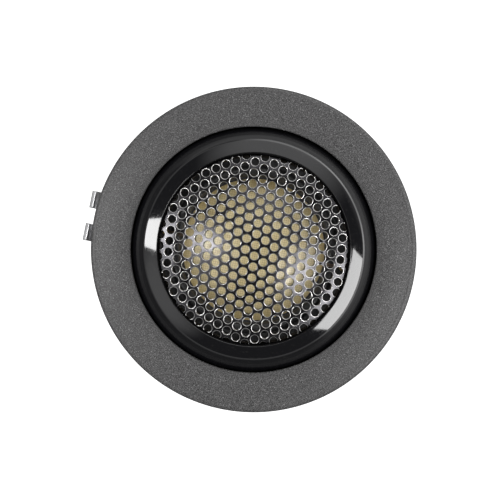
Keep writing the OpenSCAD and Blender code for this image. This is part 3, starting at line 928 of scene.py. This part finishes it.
FACE_SLOPE = 26
FACE_R = 16
SHOULDER_R = 7.3
SHOULDER_TILT = radians(70)
CREASE_TILT = radians(42)
GRILLE_OPENING_R = 17.75
CREST_ROUND = 0.12
CREASE_ROUND = 0.5
SHELL_R = BALL_R - 1.7
FRAME_Z = 1.0
GRILLE_SEAT = 5.2
POCKET_R = GRILLE_FLANGE_R + 0.05
FRAME_SCREW_R = 20.3
FRAME_ANGLES = (90, 210, 330)
SHELL_SCREW_R = 17.8
SHELL_ANGLES = (30, 150, 270)


def leaning(angle):
    """Unit vector of (radius, z) that leans away from the axis by an angle."""
    return Vector((sin(angle), cos(angle)))


def make_bezel():
    """Ball, rounded shoulder, crease and crowned sloping face down to the grille's seat."""
    shoulder = Vector((0, BALL_Z)) + (BALL_R - 0.05 - SHOULDER_R) * leaning(SHOULDER_TILT)
    crease = shoulder + SHOULDER_R * leaning(CREASE_TILT)
    slope = radians(FACE_SLOPE)
    half_turn = (CREASE_TILT - slope) / 2
    fillet = crease - CREASE_ROUND / cos(half_turn) * leaning((CREASE_TILT + slope) / 2)
    reach = degrees(CREASE_ROUND * tan(half_turn))
    face = crease - FACE_R * leaning(slope)
    crest_r = GRILLE_OPENING_R + CREST_ROUND
    crest_tilt = degrees(asin((crest_r - face.x) / FACE_R))
    shoulder_from, crease_from = 90 - degrees(SHOULDER_TILT), 90 - degrees(CREASE_TILT)
    split_angle = degrees(asin((SPLIT_Z - BALL_Z) / BALL_R))
    outline = [(SHELL_R, SPLIT_Z)]
    outline += arc((0, BALL_Z), BALL_R, split_angle, shoulder_from - 1, 20)
    outline += arc(shoulder, SHOULDER_R, shoulder_from, crease_from - reach / SHOULDER_R, 24)
    outline += arc(fillet, CREASE_ROUND, crease_from, 90 - FACE_SLOPE, 6)
    outline += arc(face, FACE_R, 90 - FACE_SLOPE + reach / FACE_R, 90 - crest_tilt, 14)
    outline += arc((crest_r, BEZEL_TOP - CREST_ROUND), CREST_ROUND, 95, 180, 8)
    outline += rounded([
        (GRILLE_OPENING_R, GRILLE_SEAT, 0), (POCKET_R, GRILLE_SEAT, 0),
        (POCKET_R, FRAME_Z, 0.1), (SHELL_R, FRAME_Z, 0),
    ])
    bezel = lathe(outline, 256)
    pilots = around(peg(PILOT_R, FRAME_Z - 1, FRAME_Z + 2), FRAME_ANGLES, FRAME_SCREW_R)
    piece("gloss_bezel", combined(bezel, [pilots]), "gloss_black", ["bezel"], crisp=14)


HOLE_R = 0.75
HOLE_PITCH = 2.02
PATTERN_TURN = 35.3
HOLE_AT = (0.14, 0.88)  # the hole nearest the axis
SHEET_T = 0.6
HOLE_ROUND = 0.09
GRILLE_DOME_R = 12.4
VALLEY_Z = 6.7
VALLEY_SOFT = 0.5
BAND_TOP = (13.9, 7.1)  # radius and z
BAND_ARCS = ((4.5, 19.0), (13.0, 27.6), (0.7, 90.0))  # radius, and the slope in degrees that it ends at
PATTERN_R = 17.35


def cap_radius(radius, height):
    """Radius of the sphere through a rim and an apex above it."""
    return (radius * radius + height * height) / (2 * height)


def sphere_height(r, sphere_r, centre_z):
    """Height of a sphere's upper side at a distance from its middle."""
    return centre_z + np.sqrt(np.maximum(sphere_r**2 - r**2, 0.01))


def band_arcs():
    """Outer side of the band as (centre, radius, outermost r), each arc running on from the one before."""
    arcs = []
    point, normal = Vector(BAND_TOP), Vector((0, 1))
    for radius, until in BAND_ARCS:
        centre = point - radius * normal
        normal = leaning(radians(until))
        point = centre + radius * normal
        arcs.append((centre, radius, point.x))
    return arcs


def grille_height(r):
    """Height of the grille's front at a radius: dome, soft valley, rounded band and rim."""
    dome_sphere = cap_radius(GRILLE_DOME_R, GRILLE_APEX - VALLEY_Z)
    hollow_r = cap_radius(BAND_TOP[0] - GRILLE_DOME_R, BAND_TOP[1] - VALLEY_Z)
    dome = sphere_height(r, dome_sphere, GRILLE_APEX - dome_sphere)
    hollow = sphere_height(r - BAND_TOP[0], hollow_r, BAND_TOP[1] - hollow_r)
    near = np.maximum(VALLEY_SOFT - np.abs(dome - hollow), 0) / VALLEY_SOFT
    height = np.maximum(dome, hollow) + near**2 * VALLEY_SOFT / 4
    starts = BAND_TOP[0]
    for centre, radius, stops in band_arcs():
        height = np.where(r < starts, height, sphere_height(r - centre.x, radius, centre.y))
        starts = stops
    return height


def grille_surface(points, depth):
    """Points in the plane carried onto the grille's front, or that depth below it."""
    r = np.maximum(np.hypot(points[:, 0], points[:, 1]), 1e-9)
    step = 0.01
    slope = (grille_height(r + step) - grille_height(r - step)) / (2 * step)
    outward = points / r[:, None]
    normal = np.column_stack([-slope[:, None] * outward, np.ones(len(r))])
    normal /= np.linalg.norm(normal, axis=1)[:, None]
    return np.column_stack([points, grille_height(r)]) - depth * normal


EDGE_STRIPS = (2, 3, 4)  # the strips of a cell that round the front edge of its hole and take the painted edge highlight


def hole_cell(form, centre):
    """One six-sided cell of the sheet with its hole, whose front edge is rounded."""
    sides = 24
    steps = np.arange(sides)
    turns = np.radians(PATTERN_TURN + 30 + 360 / sides * steps)
    outward = np.column_stack([np.cos(turns), np.sin(turns)])
    border = HOLE_PITCH / 2 / np.cos(np.radians((360 / sides * steps) % 60 - 30))
    rings = [(border, 0.0), (HOLE_R + HOLE_ROUND + 0.03, 0.0)]
    for a in np.radians([0, 30, 60, 90]):
        rings.append((HOLE_R + HOLE_ROUND * (1 - sin(a)), HOLE_ROUND * (1 - cos(a))))
    rings += [(HOLE_R, SHEET_T - 0.06), (HOLE_R + 0.06, SHEET_T), (border, SHEET_T)]
    made = []
    for radius, depth in rings:
        points = centre + outward * np.reshape(radius, (-1, 1))
        r = np.hypot(points[:, 0], points[:, 1])
        beyond = r > PATTERN_R
        points[beyond] *= (PATTERN_R / r[beyond])[:, None]
        on_sheet = grille_surface(points, depth)
        made.append([(form.verts.new(p), out) for p, out in zip(on_sheet, beyond)])
    for strip, (upper, lower) in enumerate(zip(made, made[1:])):
        for k in range(sides):
            corners = (upper[k - 1], lower[k - 1], lower[k], upper[k])
            if not all(out for vertex, out in corners):
                face = form.faces.new([vertex for vertex, out in corners])
                # Material 1 is the paler nickel that paints a highlight on the rounded hole edges.
                face.material_index = 1 if strip in EDGE_STRIPS else 0


def make_grille():
    """The punched sheet in its staggered pattern, and the plain rim and flange that hold it."""
    turn = radians(PATTERN_TURN)
    along = HOLE_PITCH * np.array([cos(turn), sin(turn)])
    row = HOLE_PITCH * sin(radians(60)) * np.array([-sin(turn), cos(turn)])
    sheet = bmesh.new()
    reach = 12
    for j in range(-reach, reach + 1):
        for i in range(-reach, reach + 1):
            centre = np.array(HOLE_AT) + (i + j / 2) * along + j * row
            if np.hypot(*centre) < PATTERN_R + HOLE_PITCH * 0.55:
                hole_cell(sheet, centre)
    bmesh.ops.delete(sheet, geom=[v for v in sheet.verts if not v.link_faces], context="VERTS")
    bmesh.ops.remove_doubles(sheet, verts=sheet.verts, dist=1e-3)
    bmesh.ops.dissolve_degenerate(sheet, edges=sheet.edges, dist=1e-3)
    bmesh.ops.holes_fill(sheet, edges=[e for e in sheet.edges if len(e.link_faces) == 1], sides=0)
    bmesh.ops.recalc_face_normals(sheet, faces=sheet.faces)
    bend, bend_r, skirt_r = band_arcs()[-1]
    rim_from = degrees(acos((PATTERN_R - bend.x) / bend_r))
    outline = arc(bend, bend_r - SHEET_T, 0, rim_from, 6) + arc(bend, bend_r, rim_from, 0, 8)
    outline += [(skirt_r, GRILLE_SEAT), (GRILLE_FLANGE_R, GRILLE_SEAT), (GRILLE_FLANGE_R, GRILLE_BACK)]
    outline += [(skirt_r - SHEET_T, GRILLE_BACK)]
    rim = lathe(outline, 256)
    grille = piece("perforated_grille", joined([sheet, rim]), "grille_nickel", ["grille"], crisp=50)
    # The second material paints a highlight on the holes' rounded edges.
    grille.data.materials.append(grille_edge_highlight())


# ---- Ball: diaphragm ----

LEDGE_Z = 1.8
ROLL_R = 1.0
CLOTH_T = 0.2
ROLL_C = COIL_R + 0.35 + ROLL_R + CLOTH_T / 2
SURROUND_OUT = 16.0
SURROUND_SECTORS = 12


def make_dome():
    """A cap of cloth that stands on the coil."""
    thick = 0.25
    sphere = cap_radius(COIL_R, DOME_APEX - DOME_BASE)
    centre = (0, DOME_APEX - sphere)
    edge = degrees(acos(COIL_R / sphere))
    low = degrees(asin((DOME_BASE - centre[1]) / (sphere - thick)))
    outline = arc(centre, sphere, edge, 90, 40) + arc(centre, sphere - thick, 90, low, 40)
    piece("silk_dome", lathe(outline), "silk_cream", ["dome"])


def bend_to_coil(made):
    """Bakes the piece's placement into its mesh, for a piece between the frame and the coil."""
    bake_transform(made)


def make_surround():
    """The half roll, cut into sectors that each reach from the frame to the coil."""
    foot = sqrt((ROLL_R + CLOTH_T / 2) ** 2 - CLOTH_T**2)
    top = LEDGE_Z + CLOTH_T
    outline = [(COIL_R, LEDGE_Z), (ROLL_C - ROLL_R + CLOTH_T / 2, LEDGE_Z)]
    outline += arc((ROLL_C, LEDGE_Z), ROLL_R - CLOTH_T / 2, 180, 0, 20)
    outline += [(SURROUND_OUT, LEDGE_Z), (SURROUND_OUT, top), (ROLL_C + foot, top)]
    outline += arc((ROLL_C, LEDGE_Z), ROLL_R + CLOTH_T / 2, 14, 166, 20)
    outline += [(ROLL_C - foot, top), (COIL_R, top)]
    span = 360 / SURROUND_SECTORS
    for k in range(SURROUND_SECTORS):
        sector = lathe(outline, 16, k * span, span)
        name = f"surround_sector_{k + 1:02d}"
        made = piece(name, sector, "surround_rubber", ["surround"], crisp=60, ride=False)
        bend_to_coil(made)


def make_leads():
    """Two flat braids of fine strands that cross the surround."""
    low = LEDGE_Z + CLOTH_T + 0.155
    over = LEDGE_Z + ROLL_R + CLOTH_T / 2 + 0.225
    route = np.array([
        (COIL_R + 0.05, low), (COIL_R + 0.2, low), (ROLL_C - ROLL_R, over - 0.3), (ROLL_C - 0.55, over),
        (ROLL_C + 0.55, over), (ROLL_C + 1.45, low + 0.1), (16.05, low + 0.1),
    ])
    runs = np.concatenate([[0], np.cumsum(np.linalg.norm(np.diff(route, axis=0), axis=1))])
    stations = np.linspace(0, runs[-1], 90)
    middle = np.column_stack([np.interp(stations, runs, coordinate) for coordinate in route.T])
    kernel = np.ones(9) / 9
    for column in range(2):
        smooth = np.convolve(np.pad(middle[:, column], 4, "edge"), kernel, "valid")
        middle[4:-4, column] = smooth[4:-4]
    strands, plait, strand_r = 5, 1.6, 0.06
    for turn, name in ((0, "tinsel_lead_right"), (180, "tinsel_lead_left")):
        forms = []
        for k in range(strands):
            phase = 2 * pi * (stations / plait + k / strands)
            sideways, lift = 0.27 * np.sin(phase), 0.05 * np.sin(2 * phase)
            forms.append(tube(np.column_stack([middle[:, 0], sideways, middle[:, 1] + lift]), strand_r))
        braid = placed(joined(forms), turn=turn)
        bend_to_coil(piece(name, braid, "tinsel_copper", ["tinsel_leads"], ride=False))


def make_winding():
    """Round wire in one layer on the former."""
    outer, low, high = measure("voice_coil_winding")
    wire_r = 0.1
    turns = int((high - low) / (2 * wire_r))
    pitch = (high - low) / turns
    outline = [(COIL_R, low)]
    for k in range(turns):
        middle = low + pitch * (k + 0.5)
        outline += arc((outer - pitch / 2, middle), pitch / 2, -80, 80, 5)
    outline += [(COIL_R, high)]
    piece("enamelled_winding", lathe(outline), "winding_enamel", ["voice_coil_winding"], crisp=60)


def make_pads():
    """Felt under the dome and wool behind the motor, both soft edged and uneven."""
    for name, cad_node, slot, lump in (
        ("felt_pad", "damping_pad", "felt_grey", 0.12),
        ("wool_wad", "chamber_wool", "wool_cream", 0.25),
    ):
        radius, low, high = measure(cad_node)
        edge = (high - low) * 0.3
        flat_r = radius - edge
        rings = 24
        top = [flat_r * (1 - i / rings) for i in range(1, rings + 1)]
        outline = [(r, low + 0.02) for r in reversed(top)]
        outline += arc((flat_r, low + edge), edge, -88, 0, 5) + arc((flat_r, high - edge), edge, 0, 88, 5)
        outline += [(r, high - 0.02) for r in top]
        pad = lathe(outline, 96)
        for vertex in pad.verts:
            x, y, z = vertex.co
            wave = sin(1.7 * x + 0.8 * y) * sin(1.3 * y - 0.6 * x)
            wave += 0.5 * sin(3.9 * x) * sin(4.3 * y)
            inward = -1 if z > (low + high) / 2 else 1
            vertex.co.z += inward * lump * (0.75 + 0.5 * wave)
        piece(name, pad, slot, [cad_node], crisp=80)


# ---- Ball: terminals ----

BOARD = (18.0, 8.0)
BOARD_SCREW_R = 7.3
BLADE_X = 3.0
BLADE_T = 0.5


def make_board():
    """Laminate plate with two screw holes and two slots."""
    low, high = measure("terminal_board")[1:]
    wide, deep = BOARD[0] / 2, BOARD[1] / 2
    board = slab(rounded(rectangle(-wide, wide, -deep, deep, 0.9), 6), low, high, bevel=0.12)
    cutters = [around(peg(0.85, low - 1, high + 1), (0, 180), BOARD_SCREW_R)]
    for x, half in ((BLADE_X, 2.5), (-BLADE_X, 1.5)):
        cutters.append(slab(rectangle(x - 0.5, x + 0.5, -half, half), low - 1, high + 1))
    piece("terminal_plate", combined(board, cutters), "board_fibre", ["terminal_board"])


def make_blade(name, cad_node, side, width):
    """Push-on terminal: chamfered blade with its hole, shoulder under the board and solder tail."""
    low, high = measure(cad_node)[1:]
    board_low, board_high = measure("terminal_board")[1:]
    half, narrow, step = width / 2, width / 2 - 0.6, board_high + 1
    outline = rounded([
        (-narrow, low, 0.1), (narrow, low, 0.1), (half, low + 0.8, 0.15), (half, step, 0.1),
        (narrow, step, 0.1), (narrow, high, 0.15), (-narrow, high, 0.15), (-narrow, step, 0.1),
        (-half, step, 0.1), (-half, low + 0.8, 0.15),
    ], 2)
    blade = slab(outline, -BLADE_T / 2, BLADE_T / 2, bevel=0.07)
    hole = placed(peg(0.6, -1, 1), y=low + 3)
    blade = upright(combined(blade, [hole]))
    corners = rectangle(-0.8, 0.8, -half - 0.6, half + 0.6, 0.2)
    shoulder = slab(rounded(corners), board_low - 0.7, board_low, bevel=0.1)
    piece(name, placed(joined([blade, shoulder]), x=side * BLADE_X), "tin_plate", [cad_node])


# ---- Build ----

MATERIALS = make_materials()

KEPT_NODES = {
    "retainer": "black_plastic",
    "friction_ring": "friction_nylon",
    "diaphragm_frame": "black_plastic",
    "lead_pins": "pin_brass",
    "motor_frame": "black_plastic",
    "yoke": "yoke_steel",
    "magnet": "magnet_nickel",
    "top_plate": "yoke_steel",
    "copper_cap": "copper_sheet",
    "rear_shell": "black_plastic",
    "wire_plus": "wire_red",
    "wire_minus": "wire_black",
    "voice_coil_former": "former_film",
}


def finish_kept_nodes():
    """CAD nodes whose shape is right keep it and get their material."""
    for name, slot in KEPT_NODES.items():
        kept = frame["nodes"][name]
        kept.data.materials.clear()
        kept.data.materials.append(MATERIALS[slot])


make_camera()
make_studio()
make_floor()
make_trim_ring()
make_gasket()
make_screws("retainer_screw_set", "retainer_screws", 1.2, 0.9, RETAINER_ANGLES, RETAINER_SCREW_R)
make_screws("frame_screw_set", "frame_screws", 1.2, 0.9, FRAME_ANGLES, FRAME_SCREW_R)
make_screws("shell_screw_set", "shell_screws", 1.5, 1.2, SHELL_ANGLES, SHELL_SCREW_R)
make_screws("board_screw_set", "board_screws", 1.3, 0.8, (0, 180), BOARD_SCREW_R)
make_clip()
make_rivet()
make_bezel()
make_grille()
make_dome()
make_surround()
make_leads()
make_winding()
make_pads()
make_board()
make_blade("blade_terminal_plus", "terminal_plus", 1, 4.8)
make_blade("blade_terminal_minus", "terminal_minus", -1, 2.8)
finish_kept_nodes()
